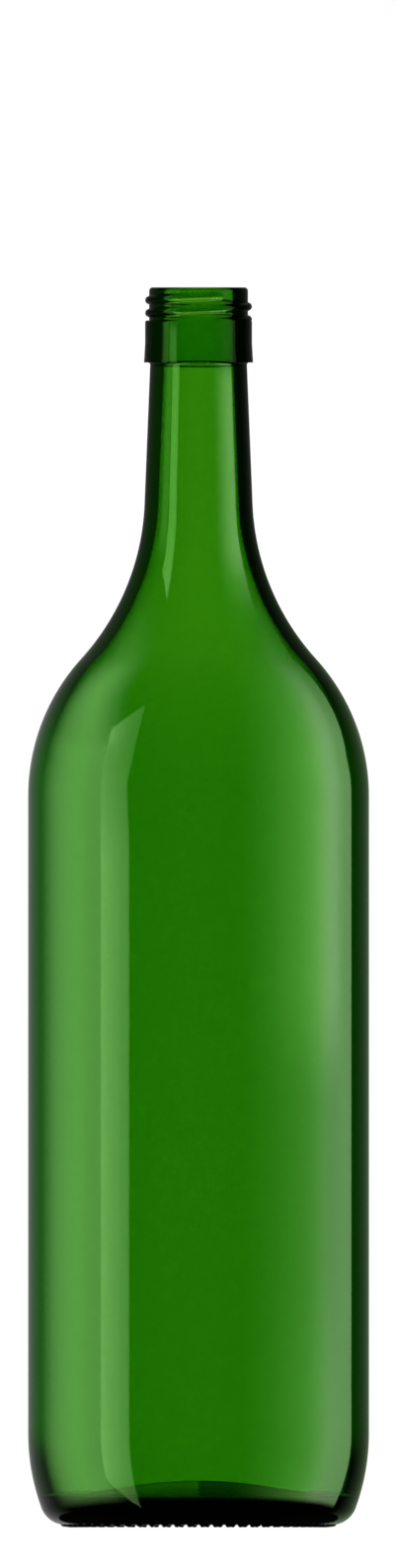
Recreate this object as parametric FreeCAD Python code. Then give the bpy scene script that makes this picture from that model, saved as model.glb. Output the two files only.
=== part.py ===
import FreeCAD, Part
import math
import os
from FreeCAD import Vector

# One-litre bordeaux bottle in green glass, open at the top, with a finish for a
# screw cap. Millimetres, +Z up, origin on the axis at the surface it stands on.
# The glass is one section of lines and tangent arcs, turned about Z. The bead of
# the screw thread and the ribs that the bottle stands on are fused to it.

# Overall
overall_height = 315.0
body_diameter = 86.6
body_wall = 4.15

# Finish: walls outwards from the bore, and drops from the lip
bore_diameter = 17.66
lip_wall = 3.72
lip_outer_round = 0.9
lip_bore_round = 0.6
band_drop = 8.4
band_step = 0.015
band_top_round = 0.5
flare_drop = 14.2
flare_spread = 0.275
finish_height = 19.1
band_root_round = 0.6

# Screw thread: one round, right-handed bead that starts inside the band
thread_height = 1.01
thread_pitch = 3.26
thread_turns = 2.3
thread_end_drop = 2.29
thread_end_angle = 287.5
thread_fade_radius = 4.0

# Neck: a slow cone
neck_wall = 3.44
neck_length = 35.95
neck_taper = math.radians(2.32)

# Shoulder: a hollow arc into a full arc, outside and inside
hollow_radius = 62.15
full_radius = 51.8
inner_hollow_radius = 64.55
inner_full_radius = 50.7

# Base: slow curve, heel, roll inside the heel, and punt
base_curve_radius = 55.1
heel_radius = 6.65
bearing_inset = 9.6
roll_radius = 5.0
punt_depth = 5.0

# Ribs of the bearing ring: round bars across the heel, lowest at their inner ends
rib_count = 62
rib_width = 1.4
rib_drop = 0.64
rib_rise = 0.22
rib_reach_out = 0.7
rib_reach_in = 1.5
rib_skew = 20.0
rib_first_angle = -87.3

# Floor of the hollow: corner, valley and push-up
floor_height = 7.4
corner_radius = 2.5
valley_radius = 25.0
push_up_radius = 108.0

# Radii that several features share
body_radius = body_diameter / 2
bore_radius = bore_diameter / 2
lip_radius = bore_radius + lip_wall
band_radius = lip_radius + thread_height + band_step
neck_radius = bore_radius + neck_wall
bearing_radius = body_radius - bearing_inset
finish_foot = overall_height - finish_height


def at(radius, height):
    """Point of the section, in the half plane of +X."""
    return Vector(radius, 0, height)


def beyond(start, through, distance):
    """Point at this distance from start, on the ray to through."""
    direction = through - start
    direction.normalize()
    return start + direction * distance


def leg(longest, other):
    """Third side of a right triangle."""
    return math.sqrt(longest ** 2 - other ** 2)


def turn(shape, degrees, foot=Vector(0, 0, 0)):
    """Turns a shape about the upright line through foot."""
    shape.rotate(foot, Vector(0, 0, 1), degrees)
    return shape


class Section:
    """Chain of lines and arcs in the half plane, turned about the axis into a solid."""

    def __init__(self, start):
        self.here = start
        self.edges = []

    def line(self, end):
        self.edges.append(Part.LineSegment(self.here, end).toShape())
        self.here = end

    def arc(self, centre, end):
        """The arc of less than half a turn about centre."""
        halfway = (self.here - centre) + (end - centre)
        middle = beyond(centre, centre + halfway, (self.here - centre).Length)
        self.edges.append(Part.Arc(self.here, middle, end).toShape())
        self.here = end

    def solid(self):
        face = Part.Face(Part.Wire(self.edges))
        return face.revolve(Vector(0, 0, 0), Vector(0, 0, 1), 360)


def shoulder(radius_at_finish, hollow, full, wall_radius):
    """Joints and centres of the two arcs that lead from the neck's cone to the body.

    Gives the cone's end, the joint between the arcs and the wall's end, then the
    centres of the hollow arc and of the full arc.
    """
    cone_end = at(radius_at_finish + neck_length * math.tan(neck_taper), finish_foot - neck_length)
    hollow_centre = cone_end + at(math.cos(neck_taper), math.sin(neck_taper)) * hollow
    full_x = wall_radius - full
    drop = leg(hollow + full, hollow_centre.x - full_x)
    full_centre = at(full_x, hollow_centre.z - drop)
    joint = beyond(hollow_centre, full_centre, hollow)
    return cone_end, joint, at(wall_radius, full_centre.z), hollow_centre, full_centre


def add_base(section, heel_centre, curve_centre):
    """Underside and heel, from the middle of the punt out to the wall."""
    roll_centre = at(bearing_radius, rib_drop + roll_radius)
    lift = section.here.z - roll_centre.z
    punt_radius = (bearing_radius ** 2 + lift ** 2 - roll_radius ** 2) / (2 * (roll_radius + lift))
    punt_centre = section.here - at(0, punt_radius)
    section.arc(punt_centre, beyond(roll_centre, punt_centre, roll_radius))
    section.arc(roll_centre, at(bearing_radius, rib_drop))
    section.arc(heel_centre, beyond(curve_centre, heel_centre, base_curve_radius))
    section.arc(curve_centre, at(body_radius, curve_centre.z))


def add_finish(section):
    """Flared band, smooth ring and lip, from the neck over to the bore."""
    band_top = overall_height - band_drop
    root = at(neck_radius + band_root_round * math.tan(neck_taper), finish_foot - band_root_round)
    root_centre = root + at(band_root_round, 0)
    section.line(root)
    section.arc(root_centre, root_centre + at(0, band_root_round))
    section.line(at(band_radius + flare_spread, finish_foot))
    section.line(at(band_radius, overall_height - flare_drop))
    section.line(at(band_radius, band_top - band_top_round))
    shoulder_centre = at(band_radius - band_top_round, band_top - band_top_round)
    section.arc(shoulder_centre, shoulder_centre + at(0, band_top_round))
    section.line(at(lip_radius, band_top))
    section.line(at(lip_radius, overall_height - lip_outer_round))
    outer_centre = at(lip_radius - lip_outer_round, overall_height - lip_outer_round)
    section.arc(outer_centre, outer_centre + at(0, lip_outer_round))
    section.line(at(bore_radius + lip_bore_round, overall_height))
    bore_centre = at(bore_radius + lip_bore_round, overall_height - lip_bore_round)
    section.arc(bore_centre, bore_centre - at(lip_bore_round, 0))


def add_floor(section, curve_centre):
    """Lower wall, corner, valley and push-up of the hollow, in to the axis."""
    inner_curve = base_curve_radius - body_wall
    corner_z = floor_height + corner_radius
    reach = leg(inner_curve - corner_radius, curve_centre.z - corner_z)
    corner_centre = at(curve_centre.x + reach, corner_z)
    section.arc(curve_centre, beyond(curve_centre, corner_centre, inner_curve))
    section.arc(corner_centre, at(corner_centre.x, floor_height))
    valley_centre = at(corner_centre.x, floor_height + valley_radius)
    fall = leg(push_up_radius + valley_radius, valley_centre.x)
    push_up_centre = at(0, valley_centre.z - fall)
    section.arc(valley_centre, beyond(valley_centre, push_up_centre, valley_radius))
    section.arc(push_up_centre, push_up_centre + at(0, push_up_radius))


def glass():
    """The body of glass: up the outside from the punt, over the lip and down the hollow."""
    heel_centre = at(bearing_radius, rib_drop + heel_radius)
    curve_x = body_radius - base_curve_radius
    rise = leg(base_curve_radius - heel_radius, bearing_radius - curve_x)
    curve_centre = at(curve_x, heel_centre.z + rise)
    punt_top = at(0, rib_drop + punt_depth)

    section = Section(punt_top)
    add_base(section, heel_centre, curve_centre)
    cone_end, joint, wall_end, hollow_centre, full_centre = shoulder(
        neck_radius, hollow_radius, full_radius, body_radius)
    section.line(wall_end)
    section.arc(full_centre, joint)
    section.arc(hollow_centre, cone_end)

    add_finish(section)
    section.line(at(bore_radius, finish_foot))

    cone_end, joint, wall_end, hollow_centre, full_centre = shoulder(
        bore_radius, inner_hollow_radius, inner_full_radius, body_radius - body_wall)
    section.line(cone_end)
    section.arc(hollow_centre, joint)
    section.arc(full_centre, wall_end)
    section.line(at(wall_end.x, curve_centre.z))
    add_floor(section, curve_centre)
    section.line(punt_top)
    return section.solid()


def thread():
    """The bead, half sunk in the ring, and the bend at its upper end that dives into it."""
    rise = thread_pitch * thread_turns
    path = Part.makeHelix(thread_pitch, rise, lip_radius)
    sweep = Part.BRepOffsetAPI.MakePipeShell(path)
    sweep.setFrenetMode(True)
    sweep.add(Part.Wire(Part.makeCircle(thread_height, at(lip_radius, 0), Vector(0, 1, 0))))
    sweep.build()
    sweep.makeSolid()
    bead = turn(sweep.shape(), thread_end_angle - 360 * thread_turns)
    bead.translate(at(0, overall_height - thread_end_drop - rise))
    bend_centre = at(lip_radius - thread_fade_radius, overall_height - thread_end_drop)
    bend = Part.makeTorus(thread_fade_radius, thread_height, bend_centre, Vector(0, 0, 1), -180, 180, 90)
    return [bead, turn(bend, thread_end_angle)]


def ribs():
    """The bars under the heel, each turned a little from the radius."""
    half_width = rib_width / 2
    inner_end = at(bearing_radius - rib_reach_in, half_width)
    outer_end = at(bearing_radius + rib_reach_out, half_width + rib_rise)
    run = outer_end - inner_end
    bar = Part.makeCylinder(half_width, run.Length, inner_end, run)
    rib = bar.fuse([Part.makeSphere(half_width, end) for end in (inner_end, outer_end)])
    turn(rib, rib_skew, at(bearing_radius, 0))
    return [turn(rib.copy(), rib_first_angle + 360 * index / rib_count) for index in range(rib_count)]


os.makedirs("parts", exist_ok=True)
bottle = glass().fuse(thread() + ribs())
bottle.exportStep("parts/bottle.step")
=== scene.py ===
import math

import bmesh
import bpy
from bpy.props import FloatProperty, FloatVectorProperty, IntProperty, PointerProperty
from mathutils import Matrix, Vector


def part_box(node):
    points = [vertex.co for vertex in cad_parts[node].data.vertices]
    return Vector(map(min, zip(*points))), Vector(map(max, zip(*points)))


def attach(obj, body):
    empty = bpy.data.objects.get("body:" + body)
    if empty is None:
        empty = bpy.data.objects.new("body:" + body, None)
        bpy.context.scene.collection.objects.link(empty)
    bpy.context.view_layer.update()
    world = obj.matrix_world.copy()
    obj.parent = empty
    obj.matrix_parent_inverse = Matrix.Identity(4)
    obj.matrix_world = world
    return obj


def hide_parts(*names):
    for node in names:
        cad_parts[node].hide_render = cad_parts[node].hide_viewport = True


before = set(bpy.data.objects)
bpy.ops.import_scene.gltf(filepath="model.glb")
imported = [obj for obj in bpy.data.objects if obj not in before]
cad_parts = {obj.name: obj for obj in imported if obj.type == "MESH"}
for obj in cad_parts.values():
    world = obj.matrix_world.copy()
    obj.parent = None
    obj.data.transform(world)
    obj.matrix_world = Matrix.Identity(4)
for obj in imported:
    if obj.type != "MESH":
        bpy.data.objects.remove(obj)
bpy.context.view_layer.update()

bl_info = {
    "name": "Bordeaux bottle",
    "version": (1, 0, 0),
    "blender": (4, 5, 0),
    "location": "3D View > Sidebar > Bottle",
    "description": "Green glass one-litre bordeaux bottle with a screw finish, and its studio",
    "category": "Object",
}

BODY = "root"
NODE = "bottle"
MM = 0.001
UPRIGHT = Vector((0, 0, 1))
SHARPEST = math.radians(50)
WELD = 0.0001 * MM
SAME_RADIUS = 0.001 * MM
STEPS_PER_RIB = 4
CUTS_PER_STEP = 3
TENT_STEPS = 180
FULL_TURN = 2 * math.pi
STEEP_CLIMB = 0.6
SHALLOW_CLIMB = 0.1


def cad_span(axis):
    """Length of the CAD bottle along one axis."""
    low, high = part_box(NODE)
    return high[axis] - low[axis]


def length(name, description, default, least=0):
    """A size in metres that a user can change."""
    return FloatProperty(
        name=name, description=description, default=default, min=least, unit="LENGTH", precision=5)


def turn(name, description, degrees):
    """An angle that a user can change."""
    return FloatProperty(name=name, description=description, default=math.radians(degrees), subtype="ANGLE")


def level(name, description, default):
    """A plain number that a user can change."""
    return FloatProperty(name=name, description=description, default=default, min=0)


def tint(name, description, default):
    """A colour that a user can change."""
    return FloatVectorProperty(
        name=name, description=description, default=default, subtype="COLOR", min=0, max=1)


class BottleSizes(bpy.types.PropertyGroup):
    """Sizes of the glass. Walls are measured outwards from the bore, drops from the lip."""

    overall_height: length("Overall height", "From the table to the lip", cad_span(2))
    body_diameter: length("Body diameter", "Across the straight wall", cad_span(0))
    body_wall: length("Body wall", "Thickness of the straight wall", 4.15 * MM)
    bore_diameter: length("Bore", "Across the mouth, inside", 17.66 * MM)
    lip_wall: length("Lip wall", "From the bore to the smooth ring under the thread", 3.72 * MM)
    lip_outer_round: length("Lip round, outside", "Radius of the lip's outer edge", 0.9 * MM)
    lip_bore_round: length("Lip round, bore", "Radius of the lip's inner edge", 0.6 * MM)
    band_drop: length("Band drop", "From the lip to the top of the band", 8.4 * MM)
    band_step: length("Band step", "How far the band stands out past the thread", 0.015 * MM)
    band_top_round: length("Band round", "Radius of the band's upper edge", 0.5 * MM)
    flare_drop: length("Flare drop", "From the lip to where the band starts to flare", 14.2 * MM)
    flare_spread: length("Flare", "How far the band's lower edge flares out", 0.275 * MM)
    finish_height: length("Finish height", "From the lip to the band's lower edge", 19.1 * MM)
    band_root_round: length("Band root", "Radius where the band leaves the neck", 0.6 * MM)
    thread_height: length("Thread height", "Radius of the round bead", 1.01 * MM)
    thread_root_round: length("Thread root", "Radius where the bead leaves the ring", 0.25 * MM)
    thread_pitch: length("Thread pitch", "Rise of the bead in one turn", 3.26 * MM)
    thread_turns: level("Thread turns", "Turns of the bead, the part inside the band included", 2.3)
    thread_end_drop: length("Thread end drop", "From the lip to the bead's upper end", 2.29 * MM)
    thread_end_angle: turn("Thread end", "Where the bead's upper end is, from +X", 287.5)
    thread_fade_radius: length("Thread fade", "Bend by which the bead dives into the ring", 4.0 * MM)
    neck_wall: length("Neck wall", "Thickness of the neck", 3.44 * MM)
    neck_length: length("Neck length", "Of the straight cone under the finish", 35.95 * MM)
    neck_taper: turn("Neck taper", "Slope of the cone against the axis", 2.32)
    hollow_radius: length("Shoulder hollow", "Radius of the hollow arc, outside", 62.15 * MM)
    full_radius: length("Shoulder full", "Radius of the full arc, outside", 51.8 * MM)
    inner_hollow_radius: length("Inner hollow", "Radius of the hollow arc, inside", 64.55 * MM)
    inner_full_radius: length("Inner full", "Radius of the full arc, inside", 50.7 * MM)
    base_curve_radius: length("Base curve", "Radius of the slow curve above the heel", 55.1 * MM)
    heel_radius: length("Heel", "Radius of the heel", 6.65 * MM)
    bearing_inset: length("Bearing inset", "From the wall in to the bearing ring", 9.6 * MM)
    roll_radius: length("Roll", "Radius of the roll inside the bearing ring", 5.0 * MM)
    punt_depth: length("Punt depth", "From the bearing ring up to the punt's middle", 5.0 * MM)
    rib_count: IntProperty(name="Ribs", description="Bars that the bottle stands on", default=62, min=3)
    rib_width: length("Rib width", "Diameter of a round bar", 1.4 * MM)
    rib_drop: length("Rib drop", "How far the bars stand below the bearing ring", 0.64 * MM)
    rib_rise: length("Rib rise", "How much higher a bar's outer end is", 0.22 * MM)
    rib_reach_out: length("Rib reach out", "From the bearing ring to a bar's outer end", 0.7 * MM)
    rib_reach_in: length("Rib reach in", "From the bearing ring to a bar's inner end", 1.5 * MM)
    rib_skew: turn("Rib skew", "Turn of a bar from the radius", 20.0)
    rib_first_angle: turn("First rib", "Where the first bar is, from +X", -87.3)
    floor_height: length("Floor height", "From the table to the lowest point of the hollow", 7.4 * MM)
    corner_radius: length("Corner", "Radius where the inner wall meets the floor", 2.5 * MM)
    valley_radius: length("Valley", "Radius of the low ring round the push-up", 25.0 * MM)
    push_up_radius: length("Push-up", "Radius of the floor's dome", 108.0 * MM)


class GlassLook(bpy.types.PropertyGroup):
    """Finish of the glass."""

    depth_colour: tint("Depth colour", "What the glass lets through", (0.433, 0.770, 0.044))
    depth_density: level("Depth density", "Strength of the colour, for each metre of glass", 900.0)
    refraction: level("Refraction", "Index of container glass", 1.52)
    gleam_colour: tint("Gleam colour", "Tint of what the glass mirrors face on", (0.5, 1.0, 0.3))
    ripple_height: length("Ripple height", "Height of the mould's slow waves", 0.002 * MM)
    ripple_scale: level("Ripple scale", "Waves for each metre", 17.0)


class StudioLook(bpy.types.PropertyGroup):
    """Floor, light and camera."""

    floor_colour: tint("Floor", "Colour of the floor", (0.86, 0.86, 0.85))
    floor_reach: length("Floor reach", "Half the floor's side", 3.0)
    shade_radius: length("Shade", "Radius of the dark under the bottle, seen through the glass", 44 * MM)
    shade_reach: length("Shade reach", "Radius where that dark has faded away", 70 * MM)
    overhead_level: level("Overhead", "Brightness of the backdrop high up, seen through the glass", 0.45)
    tent_gap: length("Tent gap", "From the bottle to the tent of light panels round it", 16.5 * MM)
    tent_shoulder: length("Tent shoulder", "Height where the tent starts to narrow", 200 * MM)
    tent_neck: length("Tent neck", "Height where the tent is down to the width of the finish", 250 * MM)
    panel_colour: tint("Panels", "Colour of the light panels where they are not white", (0.65, 1.0, 0.5))
    surround_level: level("Surround", "Brightness of the studio's dark sides", 0.006)
    ambient_level: level("Ambient", "Brightness of the light on the floor", 0.85)
    view_height: length("View height", "What the camera takes in from bottom to top", 398.26 * MM)
    view_middle: length("View middle", "Height of the middle of the view", 188.85 * MM)
    view_side: length("View side", "How far the middle of the view is to the right", -0.266 * MM, least=-1)
    view_distance: length("View distance", "From the bottle's axis to the camera", 1.5)


class Outline:
    """Chain of edges in the half plane of +X, drawn by extruding and spinning its last point."""

    def __init__(self, mesh, start):
        self.mesh = mesh
        self.tip = mesh.verts.new(start)

    @property
    def here(self):
        return self.tip.co.copy()

    def line(self, end, parts=1):
        """Straight on to end, in so many parts."""
        start = self.here
        for part in range(1, parts + 1):
            made = bmesh.ops.extrude_vert_indiv(self.mesh, verts=[self.tip])
            self.tip = made["verts"][0]
            self.tip.co = start.lerp(end, part / parts)

    def arc(self, centre, end, parts=8):
        """Round centre to end, by less than half a turn."""
        first = self.here - centre
        last = end - centre
        sweep = first.angle(last)
        axis = first.cross(last).normalized()
        made = bmesh.ops.spin(self.mesh, geom=[self.tip], cent=centre, axis=axis, angle=sweep, steps=parts)
        self.tip = next(item for item in made["geom_last"] if isinstance(item, bmesh.types.BMVert))


def at(radius, height):
    """Point of the section, in the half plane of +X."""
    return Vector((radius, 0, height))


def beyond(start, through, distance):
    """Point at this distance from start, on the ray to through."""
    return start + (through - start).normalized() * distance


def leg(longest, other):
    """Third side of a right triangle."""
    return math.sqrt(longest ** 2 - other ** 2)


class Section:
    """Points of the glass that follow from its sizes."""

    def __init__(self, sizes):
        self.sizes = sizes
        self.body_radius = sizes.body_diameter / 2
        self.bore_radius = sizes.bore_diameter / 2
        self.lip_radius = self.bore_radius + sizes.lip_wall
        self.band_radius = self.lip_radius + sizes.thread_height + sizes.band_step
        self.neck_radius = self.bore_radius + sizes.neck_wall
        self.bearing_radius = self.body_radius - sizes.bearing_inset
        self.band_top = sizes.overall_height - sizes.band_drop
        self.finish_foot = sizes.overall_height - sizes.finish_height
        self.heel_centre = at(self.bearing_radius, sizes.rib_drop + sizes.heel_radius)
        curve_radius = self.body_radius - sizes.base_curve_radius
        rise = leg(sizes.base_curve_radius - sizes.heel_radius, self.bearing_radius - curve_radius)
        self.curve_centre = at(curve_radius, self.heel_centre.z + rise)
        self.punt_top = at(0, sizes.rib_drop + sizes.punt_depth)

    def shoulder(self, radius_at_finish, hollow, full, wall_radius):
        """Cone's end, joint of the arcs and wall's end, then the hollow and the full arc's centre."""
        sizes = self.sizes
        taper = sizes.neck_taper
        cone_radius = radius_at_finish + sizes.neck_length * math.tan(taper)
        cone_end = at(cone_radius, self.finish_foot - sizes.neck_length)
        hollow_centre = cone_end + at(math.cos(taper), math.sin(taper)) * hollow
        full_x = wall_radius - full
        drop = leg(hollow + full, hollow_centre.x - full_x)
        full_centre = at(full_x, hollow_centre.z - drop)
        joint = beyond(hollow_centre, full_centre, hollow)
        return cone_end, joint, at(wall_radius, full_centre.z), hollow_centre, full_centre

    def draw_base(self, outline):
        """Punt, roll, heel and the slow curve up to the wall."""
        sizes = self.sizes
        roll_centre = at(self.bearing_radius, sizes.rib_drop + sizes.roll_radius)
        lift = outline.here.z - roll_centre.z
        reach = self.bearing_radius ** 2 + lift ** 2 - sizes.roll_radius ** 2
        punt_radius = reach / (2 * (sizes.roll_radius + lift))
        punt_centre = outline.here - at(0, punt_radius)
        outline.arc(punt_centre, beyond(roll_centre, punt_centre, sizes.roll_radius), parts=18)
        outline.arc(roll_centre, at(self.bearing_radius, sizes.rib_drop), parts=14)
        heel_end = beyond(self.curve_centre, self.heel_centre, sizes.base_curve_radius)
        outline.arc(self.heel_centre, heel_end, parts=18)
        outline.arc(self.curve_centre, at(self.body_radius, self.curve_centre.z), parts=12)

    def draw_finish(self, outline):
        """Band, ring of the thread and lip, from the neck over to the bore."""
        sizes = self.sizes
        root_rise = sizes.band_root_round * math.tan(sizes.neck_taper)
        root = at(self.neck_radius + root_rise, self.finish_foot - sizes.band_root_round)
        root_centre = root + at(sizes.band_root_round, 0)
        outline.line(root, parts=6)
        outline.arc(root_centre, root_centre + at(0, sizes.band_root_round), parts=5)
        outline.line(at(self.band_radius + sizes.flare_spread, self.finish_foot))
        outline.line(at(self.band_radius, sizes.overall_height - sizes.flare_drop), parts=3)
        outline.line(at(self.band_radius, self.band_top - sizes.band_top_round), parts=3)
        round_centre = at(self.band_radius - sizes.band_top_round, self.band_top - sizes.band_top_round)
        outline.arc(round_centre, round_centre + at(0, sizes.band_top_round), parts=5)
        outline.line(at(self.lip_radius, self.band_top), parts=2)
        outer_round_foot = sizes.overall_height - sizes.lip_outer_round
        outline.line(at(self.lip_radius, outer_round_foot), parts=62)
        outer_centre = at(self.lip_radius - sizes.lip_outer_round, outer_round_foot)
        outline.arc(outer_centre, outer_centre + at(0, sizes.lip_outer_round), parts=9)
        bore_round_radius = self.bore_radius + sizes.lip_bore_round
        outline.line(at(bore_round_radius, sizes.overall_height), parts=3)
        bore_centre = at(bore_round_radius, sizes.overall_height - sizes.lip_bore_round)
        outline.arc(bore_centre, bore_centre - at(sizes.lip_bore_round, 0), parts=6)

    def draw_floor(self, outline):
        """Lower wall, corner, valley and push-up of the hollow."""
        sizes = self.sizes
        inner_curve = sizes.base_curve_radius - sizes.body_wall
        corner_z = sizes.floor_height + sizes.corner_radius
        reach = leg(inner_curve - sizes.corner_radius, self.curve_centre.z - corner_z)
        corner_centre = at(self.curve_centre.x + reach, corner_z)
        outline.arc(self.curve_centre, beyond(self.curve_centre, corner_centre, inner_curve), parts=12)
        outline.arc(corner_centre, at(corner_centre.x, sizes.floor_height), parts=8)
        valley_centre = at(corner_centre.x, sizes.floor_height + sizes.valley_radius)
        fall = leg(sizes.push_up_radius + sizes.valley_radius, valley_centre.x)
        push_up_centre = at(0, valley_centre.z - fall)
        outline.arc(valley_centre, beyond(valley_centre, push_up_centre, sizes.valley_radius), parts=10)
        outline.arc(push_up_centre, push_up_centre + at(0, sizes.push_up_radius), parts=12)

    def draw(self, mesh):
        """The whole section: up the outside from the punt, over the lip and down the hollow."""
        sizes = self.sizes
        outline = Outline(mesh, self.punt_top)
        self.draw_base(outline)
        cone_end, joint, wall_end, hollow_centre, full_centre = self.shoulder(
            self.neck_radius, sizes.hollow_radius, sizes.full_radius, self.body_radius)
        outline.line(wall_end, parts=8)
        outline.arc(full_centre, joint, parts=24)
        outline.arc(hollow_centre, cone_end, parts=26)
        self.draw_finish(outline)
        outline.line(at(self.bore_radius, self.finish_foot), parts=4)
        cone_end, joint, wall_end, hollow_centre, full_centre = self.shoulder(
            self.bore_radius, sizes.inner_hollow_radius, sizes.inner_full_radius,
            self.body_radius - sizes.body_wall)
        outline.line(cone_end, parts=6)
        outline.arc(hollow_centre, joint, parts=26)
        outline.arc(full_centre, wall_end, parts=24)
        outline.line(at(wall_end.x, self.curve_centre.z), parts=8)
        self.draw_floor(outline)


class Thread:
    """Round bead that climbs the ring, with a small root, and dives into it at its upper end."""

    def __init__(self, sizes, section):
        self.sizes = sizes
        self.ring = section.lip_radius
        self.end_z = sizes.overall_height - sizes.thread_end_drop
        centres_apart = sizes.thread_height + sizes.thread_root_round
        self.root_reach = leg(centres_apart, sizes.thread_root_round)
        self.root_start = self.root_reach * sizes.thread_height / centres_apart

    def bead(self, off_axis):
        """Height of the bead over the ring, at this distance up or down from its middle."""
        sizes = self.sizes
        if off_axis >= self.root_reach:
            return 0.0
        if off_axis < self.root_start:
            return leg(sizes.thread_height, off_axis)
        return sizes.thread_root_round - leg(sizes.thread_root_round, self.root_reach - off_axis)

    def radius(self, angle, height):
        """Radius of the ring and bead at this angle about the axis and this height."""
        sizes = self.sizes
        highest = 0.0
        behind = (sizes.thread_end_angle - angle) % FULL_TURN
        turns_below = behind / FULL_TURN
        while turns_below <= sizes.thread_turns:
            middle = self.end_z - sizes.thread_pitch * turns_below
            highest = max(highest, self.bead(abs(height - middle)))
            turns_below += 1
        past_end = (FULL_TURN - behind) * self.ring
        if past_end < sizes.thread_fade_radius:
            sunk = sizes.thread_fade_radius - leg(sizes.thread_fade_radius, past_end)
            highest = max(highest, self.bead(abs(height - self.end_z)) - sunk)
        return self.ring + highest


def raise_thread(mesh, sizes, section):
    """Moves the outside of the ring out to the thread."""
    thread = Thread(sizes, section)
    inside = section.bore_radius + sizes.lip_wall / 2
    lowest = section.band_top - sizes.band_top_round
    for vert in mesh.verts:
        radius = vert.co.xy.length
        if vert.co.z > lowest and radius > inside:
            out = thread.radius(math.atan2(vert.co.y, vert.co.x), vert.co.z)
            lift = out - section.lip_radius
            if lift > 0:
                vert.co.xy *= max(radius, out) / radius


def lower_ribs(mesh, sizes, section):
    """Splits the bearing ring finely round the axis, and moves it down to the ribs."""
    half_width = sizes.rib_width / 2
    inmost = section.bearing_radius - sizes.rib_reach_in - sizes.rib_width
    outmost = section.bearing_radius + sizes.rib_reach_out + sizes.rib_width
    highest = sizes.rib_width * 1.5

    def near(vert):
        return vert.co.z < highest and inmost < vert.co.xy.length < outmost

    rings = [edge for edge in mesh.edges if near(edge.verts[0]) and near(edge.verts[1])
             and abs(edge.verts[0].co.xy.length - edge.verts[1].co.xy.length) < SAME_RADIUS]
    bmesh.ops.subdivide_edges(mesh, edges=rings, cuts=CUTS_PER_STEP)

    pitch = FULL_TURN / sizes.rib_count
    run = sizes.rib_reach_in + sizes.rib_reach_out
    for vert in mesh.verts:
        if not near(vert):
            continue
        angle = math.atan2(vert.co.y, vert.co.x) - sizes.rib_first_angle
        lowest = vert.co.z
        for turned in (angle % pitch, angle % pitch - pitch):
            spot = Vector((math.cos(turned), math.sin(turned))) * vert.co.xy.length
            spot -= Vector((section.bearing_radius, 0))
            spot.rotate(Matrix.Rotation(-sizes.rib_skew, 2))
            along = spot.x + sizes.rib_reach_in
            nearest = min(max(along, 0), run)
            off = math.hypot(along - nearest, spot.y)
            if off < half_width:
                middle = half_width + sizes.rib_rise * nearest / run
                lowest = min(lowest, middle - leg(half_width, off))
        vert.co.z = lowest


def finish_mesh(mesh, name):
    """Object at the origin from a bmesh, smooth but for sharp rings that lie level."""
    bmesh.ops.remove_doubles(mesh, verts=mesh.verts, dist=WELD)
    bmesh.ops.recalc_face_normals(mesh, faces=mesh.faces)
    for face in mesh.faces:
        face.smooth = True
    for edge in mesh.edges:
        start, end = edge.verts
        lies_level = abs(start.co.z - end.co.z) < WELD
        edge.smooth = edge.calc_face_angle(0) < SHARPEST or not lies_level
    data = bpy.data.meshes.new(name)
    mesh.to_mesh(data)
    mesh.free()
    piece = bpy.data.objects.new(name, data)
    bpy.context.scene.collection.objects.link(piece)
    return piece


class Value:
    """A number on a socket, with the operators that the materials use."""

    def __init__(self, nodes, socket):
        self.nodes = nodes
        self.socket = socket

    def maths(self, operation, *others):
        return self.nodes.value("ShaderNodeMath", {"operation": operation}, 0, self, *others)

    def __add__(self, other):
        return self.maths("ADD", other)

    def __sub__(self, other):
        return self.maths("SUBTRACT", other)

    def __rsub__(self, other):
        return self.nodes.value("ShaderNodeMath", {"operation": "SUBTRACT"}, 0, other, self)

    def __mul__(self, other):
        return self.maths("MULTIPLY", other)

    def at_least_one(self):
        """1 for a count of one or more, 0 for none."""
        return self.maths("GREATER_THAN", 0.5)

    def clamped(self):
        """The same number, held between 0 and 1."""
        made = self.maths("ADD", 0.0)
        made.socket.node.use_clamp = True
        return made


class Nodes:
    """A node tree under construction."""

    def __init__(self, tree):
        self.tree = tree
        tree.nodes.clear()

    def add(self, kind, settings=None, inputs=None):
        """A node of this kind, with its settings first and then its sockets, by name or number."""
        node = self.tree.nodes.new(kind)
        for key, setting in (settings or {}).items():
            setattr(node, key, setting)
        for key, given in (inputs or {}).items():
            if isinstance(given, Value):
                given = given.socket
            socket = self.socket(node.inputs, key)
            if isinstance(given, bpy.types.NodeSocket):
                self.tree.links.new(given, socket)
            else:
                socket.default_value = given
        return node

    def socket(self, sockets, key):
        """Socket by number, or by name among those that the node's settings leave in use."""
        if isinstance(key, int):
            return sockets[key]
        return next(socket for socket in sockets if socket.name == key and socket.enabled)

    def value(self, kind, settings, output, *inputs):
        """One output of a new node, whose sockets are given in order."""
        node = self.add(kind, settings, dict(enumerate(inputs)))
        return Value(self, node.outputs[output])

    def rise(self, reading, start, end):
        """Climbs smoothly from 0 to 1 while the reading goes from start to end, up or down."""
        smooth = {"interpolation_type": "SMOOTHSTEP"}
        return self.value("ShaderNodeMapRange", smooth, 0, reading, start, end)

    def rise_evenly(self, reading, start, end):
        """The same at an even rate."""
        return self.value("ShaderNodeMapRange", {}, 0, reading, start, end)


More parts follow.
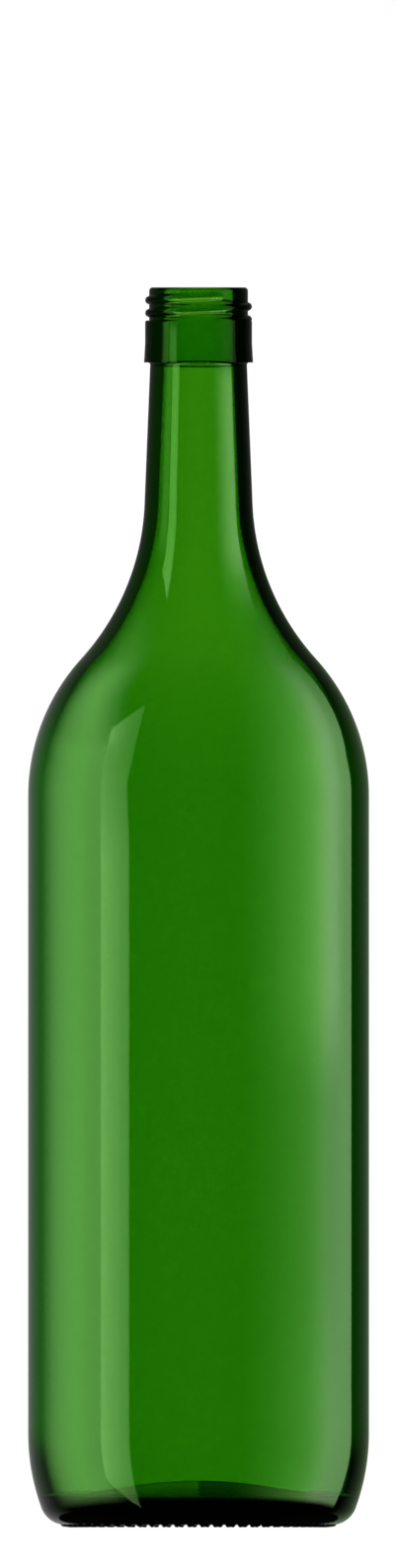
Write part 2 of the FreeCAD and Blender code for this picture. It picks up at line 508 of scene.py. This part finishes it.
def glass_material(look):
    """Clear green container glass, coloured all through, with the mould's slow waves."""
    material = bpy.data.materials.new("green_glass")
    material.use_nodes = True
    nodes = Nodes(material.node_tree)
    place = nodes.add("ShaderNodeTexCoord").outputs["Object"]
    waves = nodes.add("ShaderNodeTexNoise", {}, {
        "Vector": place, "Scale": look.ripple_scale, "Detail": 1.0})
    bump = nodes.add("ShaderNodeBump", {}, {
        "Height": waves.outputs[0], "Distance": look.ripple_height, "Strength": 1.0})
    shader = nodes.add("ShaderNodeBsdfPrincipled", {}, {
        "Base Color": (1, 1, 1, 1), "Roughness": 0.0, "IOR": look.refraction,
        "Transmission Weight": 1.0, "Specular Tint": (*look.gleam_colour, 1), "Normal": bump.outputs[0]})
    depth = nodes.add("ShaderNodeVolumeAbsorption", {}, {
        "Color": (*look.depth_colour, 1), "Density": look.depth_density})
    nodes.add("ShaderNodeOutputMaterial", {}, {"Surface": shader.outputs[0], "Volume": depth.outputs[0]})
    return material


def seen_through_glass(nodes):
    """1 for rays that came straight through the glass, without being mirrored in it."""
    path = nodes.add("ShaderNodeLightPath")
    mirrored = Value(nodes, path.outputs["Glossy Depth"]).at_least_one()
    return Value(nodes, path.outputs["Is Transmission Ray"]) * (1 - mirrored)


def floor_material(look):
    """Plain pale floor, white where it shows through the glass, but for the shade under the bottle."""
    material = bpy.data.materials.new("pale_floor")
    material.use_nodes = True
    nodes = Nodes(material.node_tree)
    shader = nodes.add("ShaderNodeBsdfPrincipled", {}, {
        "Base Color": (*look.floor_colour, 1), "Roughness": 0.9, "Specular IOR Level": 0.1})
    white = nodes.add("ShaderNodeEmission", {}, {"Color": (1, 1, 1, 1), "Strength": 1.0})
    place = nodes.add("ShaderNodeTexCoord").outputs["Object"]
    away = nodes.value("ShaderNodeVectorMath", {"operation": "LENGTH"}, "Value", place)
    outside_shade = nodes.rise(away, look.shade_radius, look.shade_reach)
    mixed = nodes.add("ShaderNodeMixShader", {}, {
        0: seen_through_glass(nodes) * outside_shade, 1: shader.outputs[0], 2: white.outputs[0]})
    nodes.add("ShaderNodeOutputMaterial", {}, {"Surface": mixed.outputs[0]})
    return material


class LightTent:
    """What the bottle mirrors: a dark tent round it, with light panels on its inside.

    Angles are degrees from -Y, to the left or to the right, and heights are metres. Each pair says where
    a climb from 0 to 1 starts and ends. A loss is the share of a panel's light that is missing.
    """

    shoulder_bend = (0.188, 0.222)
    bend_angle = 4
    neck_start = (0.244, 0.256)

    window_front = 30.9
    window_back = 45.3
    window_bulge = (0.172, 0.190)
    window_lean = (0.190, 0.218)
    lean_angle = 3.9
    slant_angle = 41
    top_height = 0.2134
    top_slant = 0.00059
    foot_height = -0.0005
    foot_slant = -0.0011
    side_blur = 0.4
    end_blur = 0.0003

    neck_window_front = (36.6, 38.2)
    neck_window_back = 31
    neck_window_foot = (0.2470, 0.2515)
    neck_window_widening = 20.5
    neck_window_blur = 0.5
    neck_window_light = 3.4

    wash_front = 44.8
    wash_front_end = 45.6
    wash_back = (94, 58)
    heel_spread = (0.004, -0.004)
    spread_angle = 12
    spread_blur = 14
    wash_light = 3.8

    def __init__(self, nodes, look):
        self.look = look
        self.rise = nodes.rise
        self.rise_evenly = nodes.rise_evenly
        place = nodes.add("ShaderNodeTexCoord").outputs["Object"]
        split = nodes.add("ShaderNodeSeparateXYZ", {}, {"Vector": place})
        across = Value(nodes, split.outputs["X"])
        deep = Value(nodes, split.outputs["Y"])
        self.right = across.maths("ARCTAN2", deep * -1) * math.degrees(1)
        self.left = self.right * -1
        self.height = Value(nodes, split.outputs["Z"])

    def above(self, reading, edge, blur):
        """1 where the reading is above the edge and 0 where it is below, with a blur between."""
        return self.rise(reading - edge, -blur, blur)

    def below(self, reading, edge, blur):
        """1 where the reading is below the edge and 0 where it is above, with a blur between."""
        return self.rise(reading - edge, blur, -blur)

    def on_neck(self):
        """0 on the body, 1 on the neck and the finish."""
        return self.rise(self.height, *self.neck_start)

    def shoulder_curve(self):
        """From 0 at the shoulder's foot to 1 at its top, ever faster."""
        climb = self.rise_evenly(self.height, *self.shoulder_bend)
        return climb * climb

    def body_window(self):
        """Lower piece of the tall crisp window on the left, cut on a slant at both ends."""
        lean = self.rise(self.height, *self.window_lean) * self.lean_angle
        front = self.rise(self.height, *self.window_bulge) - lean + self.window_front
        back = self.window_back - self.shoulder_curve() * self.bend_angle
        across = self.above(self.left, front, self.side_blur) * self.below(self.left, back, self.side_blur)

        to_front = self.slant_angle - self.left
        top = to_front * self.top_slant + self.top_height
        foot = to_front * self.foot_slant + self.foot_height
        along = self.below(self.height, top, self.end_blur) * self.above(self.height, foot, self.end_blur)

        upper_loss = self.rise(self.height, 0.165, 0.190) * 0.27
        tip_loss = self.rise(self.height, 0.190, 0.203) * 0.12
        heel_loss = self.rise(self.height, 0.010, -0.004) * 0.35
        light = self.rise_evenly(self.left, 30, 45) * 3.4 + 2.1
        return across * along * (1 - upper_loss - tip_loss) * (1 - heel_loss) * light

    def neck_window(self):
        """Upper piece of the window, on the neck and the finish, with its foot cut on a slant."""
        widening = self.rise_evenly(self.height, *self.neck_window_foot) * self.neck_window_widening
        back = widening + self.neck_window_back
        front_side = self.rise(self.left, *self.neck_window_front)
        across = front_side * self.below(self.left, back, self.neck_window_blur)
        band_loss = self.rise(self.height, 0.293, 0.298) * 0.5
        thread_loss = self.rise(self.height, 0.303, 0.308) * 0.35
        return across * (1 - band_loss - thread_loss) * self.neck_window_light

    def body_wash(self):
        """Soft panel behind the window, whose front side turns softer round the heel."""
        spread = self.rise_evenly(self.height, *self.heel_spread)
        reading = self.left + self.shoulder_curve() * self.bend_angle + spread * self.spread_angle
        front_end = spread * self.spread_blur + self.wash_front_end
        front_side = self.rise(reading, self.wash_front, front_end)
        front_loss = 0.17 - self.rise(self.left, 45, 60) * 0.2
        return front_side * self.rise(self.left, *self.wash_back) * (1 - front_loss)

    def shoulder_wash(self):
        """The same panel on the shoulder, soft on both sides, further back the higher it is."""
        drift = self.rise_evenly(self.height, 0.208, 0.224) * 7
        return self.rise(self.left - drift, 30, 57) * self.rise(self.left, 92, 58) * 0.85

    def neck_wash(self):
        """Narrow soft panel behind the window's upper piece."""
        across = self.rise(self.left, 53, 54) * self.rise(self.left, 70, 62)
        return across * self.rise(self.height, 0.252, 0.258)

    def wash(self):
        """All the soft light behind the window, from the heel up."""
        on_shoulder = self.rise(self.height, 0.203, 0.210)
        across = self.body_wash() * (1 - on_shoulder) + self.shoulder_wash() * on_shoulder
        along = self.rise(self.height, 0.251, 0.222) * self.rise(self.height, -0.009, 0.002)
        return across * along * self.wash_light + self.neck_wash()

    def body_panel(self):
        """Large soft panel on the right, with a crisp back edge, dimmer over the body's lower part."""
        across = self.rise(self.right, 14, 70) * self.rise(self.right, 87.3, 86.2)
        along = self.rise(self.height, 0.252, 0.195) * self.rise(self.height, -0.007, -0.003)
        foot_share = self.rise(self.height, 0.07, 0.03) * 0.3
        lower_part = self.rise(self.height, 0.14, 0.105) - foot_share
        lower_loss = lower_part * self.rise(self.right, 81, 70) * 0.4
        light = 4.8 - self.rise(self.right, 60, 86) * 2.9
        return across * along * (1 - lower_loss) * light

    def neck_panel(self):
        """Narrower panel on the right of the neck, faint on the finish."""
        across = self.rise(self.right, 24, 60) * self.rise(self.right, 70, 67)
        finish_loss = self.rise(self.height, 0.291, 0.295) * 0.9
        light = 3.9
        return across * self.on_neck() * (1 - finish_loss) * light

    def glow(self):
        """Faint light from the sides round to the back, weaker at the neck."""
        left_light = self.rise_evenly(self.left, 82, 134) * 0.345
        right_light = self.rise_evenly(self.right, 91.5, 134) * 0.275
        neck_loss = self.rise(self.height, 0.20, 0.24) * 0.7
        return (left_light + right_light) * (1 - neck_loss)

    def whiteness(self):
        """Share of white in the panels' colour."""
        neck = self.on_neck()
        neck_loss = neck * 0.7
        back_loss = self.rise(self.right, 71, 80) * 0.7
        left_share = self.rise(self.left, 66, 40) * self.rise(self.left, 0, 10) * (1 - neck_loss)
        body_share = self.rise(self.right, 48, 70) * (1 - back_loss) * 0.8
        neck_share = self.rise(self.right, 0, 10)
        glow_share = self.rise(self.left, 84, 100)
        right_share = body_share * (1 - neck) + neck_share * neck
        return (left_share + right_share + glow_share).clamped()

    def outside(self):
        """Brightness for what the outer surface mirrors."""
        left = self.body_window() + self.neck_window() + self.wash()
        right = self.body_panel() + self.neck_panel()
        return left + right + self.glow() + self.look.surround_level

    def inside(self):
        """Brightness for what the wall mirrors inside, highest on the body and to the left."""
        to_left = self.rise(self.right, 60, -60)
        on_body = self.rise(self.height, 0.228, 0.185) * self.rise(self.height, 0.012, 0.028)
        body_light = to_left * 0.56 + 0.34
        other_light = to_left * 0.1 + 0.02
        return on_body * body_light + other_light


def tent_material(look):
    """Light and dark of the tent, for mirrored rays alone. It is clear to the camera and the floor."""
    material = bpy.data.materials.new("light_tent")
    material.use_nodes = True
    nodes = Nodes(material.node_tree)
    path = nodes.add("ShaderNodeLightPath")

    def number(name):
        return Value(nodes, path.outputs[name])

    tent = LightTent(nodes, look)
    mirrored = number("Glossy Depth").at_least_one()
    within = number("Transmission Depth").at_least_one()
    brightness = within * tent.inside() + (1 - within) * tent.outside()
    hue = nodes.add("ShaderNodeMix", {"data_type": "RGBA"}, {
        "Factor": tent.whiteness(), "A": (*look.panel_colour, 1), "B": (1, 1, 1, 1)})
    colour = nodes.add("ShaderNodeVectorMath", {"operation": "SCALE"}, {
        0: nodes.socket(hue.outputs, "Result"), "Scale": brightness})
    light = nodes.add("ShaderNodeEmission", {}, {"Color": colour.outputs["Vector"], "Strength": 1.0})
    clear = nodes.add("ShaderNodeBsdfTransparent")
    shown = mirrored * (1 - number("Is Diffuse Ray"))
    mixed = nodes.add("ShaderNodeMixShader", {}, {0: shown, 1: clear.outputs[0], 2: light.outputs[0]})
    nodes.add("ShaderNodeOutputMaterial", {}, {"Surface": mixed.outputs[0]})
    return material


def build_world(look):
    """White behind the bottle, dimmer high up as seen through the glass, and plain light on the floor."""
    world = bpy.data.worlds.new("studio")
    world.use_nodes = True
    nodes = Nodes(world.node_tree)
    path = nodes.add("ShaderNodeLightPath")
    direction = nodes.add("ShaderNodeTexCoord").outputs["Generated"]
    climb = Value(nodes, nodes.add("ShaderNodeSeparateXYZ", {}, {"Vector": direction}).outputs["Z"])
    low_down = nodes.rise(climb, STEEP_CLIMB, SHALLOW_CLIMB)
    through_glass = low_down * (1 - look.overhead_level) + look.overhead_level
    straight_on = Value(nodes, path.outputs["Is Camera Ray"])
    on_floor = Value(nodes, path.outputs["Is Diffuse Ray"])
    strength = seen_through_glass(nodes) * through_glass + straight_on
    strength = strength + on_floor * look.ambient_level + look.surround_level
    shader = nodes.add("ShaderNodeBackground", {}, {"Color": (1, 1, 1, 1), "Strength": strength})
    nodes.add("ShaderNodeOutputWorld", {}, {"Surface": shader.outputs[0]})
    bpy.context.scene.world = world


class BOTTLE_OT_glass(bpy.types.Operator):
    """Makes the bottle's glass in place of the CAD node"""

    bl_idname = "bottle.glass"
    bl_label = "Glass"

    def execute(self, context):
        sizes = context.scene.bottle_sizes
        section = Section(sizes)
        mesh = bmesh.new()
        section.draw(mesh)
        outline = mesh.verts[:] + mesh.edges[:]
        bmesh.ops.spin(mesh, geom=outline, cent=(0, 0, 0), axis=UPRIGHT, angle=FULL_TURN,
                       steps=sizes.rib_count * STEPS_PER_RIB, use_merge=True)
        bmesh.ops.remove_doubles(mesh, verts=mesh.verts, dist=WELD)
        raise_thread(mesh, sizes, section)
        lower_ribs(mesh, sizes, section)
        piece = finish_mesh(mesh, "bottle_glass")
        piece.data.materials.append(glass_material(context.scene.bottle_glass_look))
        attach(piece, BODY)
        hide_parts(NODE)
        return {"FINISHED"}


class BOTTLE_OT_stage(bpy.types.Operator):
    """Makes the floor, the light and the camera"""

    bl_idname = "bottle.stage"
    bl_label = "Stage"

    def execute(self, context):
        scene = context.scene
        look = scene.bottle_studio
        mesh = bmesh.new()
        bmesh.ops.create_grid(mesh, x_segments=1, y_segments=1, size=look.floor_reach)
        floor = finish_mesh(mesh, "floor")
        floor.data.materials.append(floor_material(look))
        floor.visible_glossy = False
        self.add_tent(look)
        build_world(look)
        scene.view_settings.view_transform = "Standard"
        self.add_camera(scene, look)
        return {"FINISHED"}

    def add_tent(self, look):
        """Tent a little way off the bottle all round, open at both ends."""
        reach = look.tent_gap
        sizes = bpy.context.scene.bottle_sizes
        section = Section(sizes)
        mesh = bmesh.new()
        outline = Outline(mesh, at(section.body_radius + reach, -reach))
        outline.line(at(section.body_radius + reach, look.tent_shoulder), parts=2)
        outline.line(at(section.band_radius + reach, look.tent_neck), parts=2)
        outline.line(at(section.band_radius + reach, sizes.overall_height + reach), parts=2)
        bmesh.ops.spin(mesh, geom=mesh.verts[:] + mesh.edges[:], cent=(0, 0, 0), axis=UPRIGHT,
                       angle=FULL_TURN, steps=TENT_STEPS, use_merge=True)
        tent = finish_mesh(mesh, "light_tent")
        tent.data.materials.append(tent_material(look))

    def add_camera(self, scene, look):
        """Level camera without perspective, square on to the front."""
        camera = bpy.data.objects.new("camera", bpy.data.cameras.new("camera"))
        camera.data.type = "ORTHO"
        camera.data.ortho_scale = look.view_height
        camera.location = (look.view_side, -look.view_distance, look.view_middle)
        camera.rotation_euler = (math.pi / 2, 0, 0)
        scene.collection.objects.link(camera)
        scene.camera = camera


class BOTTLE_PT_panel(bpy.types.Panel):
    """Lists the steps and the sizes"""

    bl_idname = "BOTTLE_PT_panel"
    bl_label = "Bordeaux bottle"
    bl_space_type = "VIEW_3D"
    bl_region_type = "UI"
    bl_category = "Bottle"

    def draw(self, context):
        for operator in OPERATORS:
            self.layout.operator(operator.bl_idname)
        for name in GROUPS:
            group = getattr(context.scene, name)
            for key in group.__annotations__:
                self.layout.prop(group, key)


OPERATORS = (BOTTLE_OT_glass, BOTTLE_OT_stage)
GROUPS = {"bottle_sizes": BottleSizes, "bottle_glass_look": GlassLook, "bottle_studio": StudioLook}


def register():
    for group in GROUPS.values():
        bpy.utils.register_class(group)
    for name, group in GROUPS.items():
        setattr(bpy.types.Scene, name, PointerProperty(type=group))
    for operator in OPERATORS:
        bpy.utils.register_class(operator)
    bpy.utils.register_class(BOTTLE_PT_panel)


def unregister():
    bpy.utils.unregister_class(BOTTLE_PT_panel)
    for operator in reversed(OPERATORS):
        bpy.utils.unregister_class(operator)
    for name in GROUPS:
        delattr(bpy.types.Scene, name)
    for group in reversed(list(GROUPS.values())):
        bpy.utils.unregister_class(group)


def main():
    register()
    bpy.ops.bottle.glass()
    bpy.ops.bottle.stage()


if __name__ == "__main__":
    main()
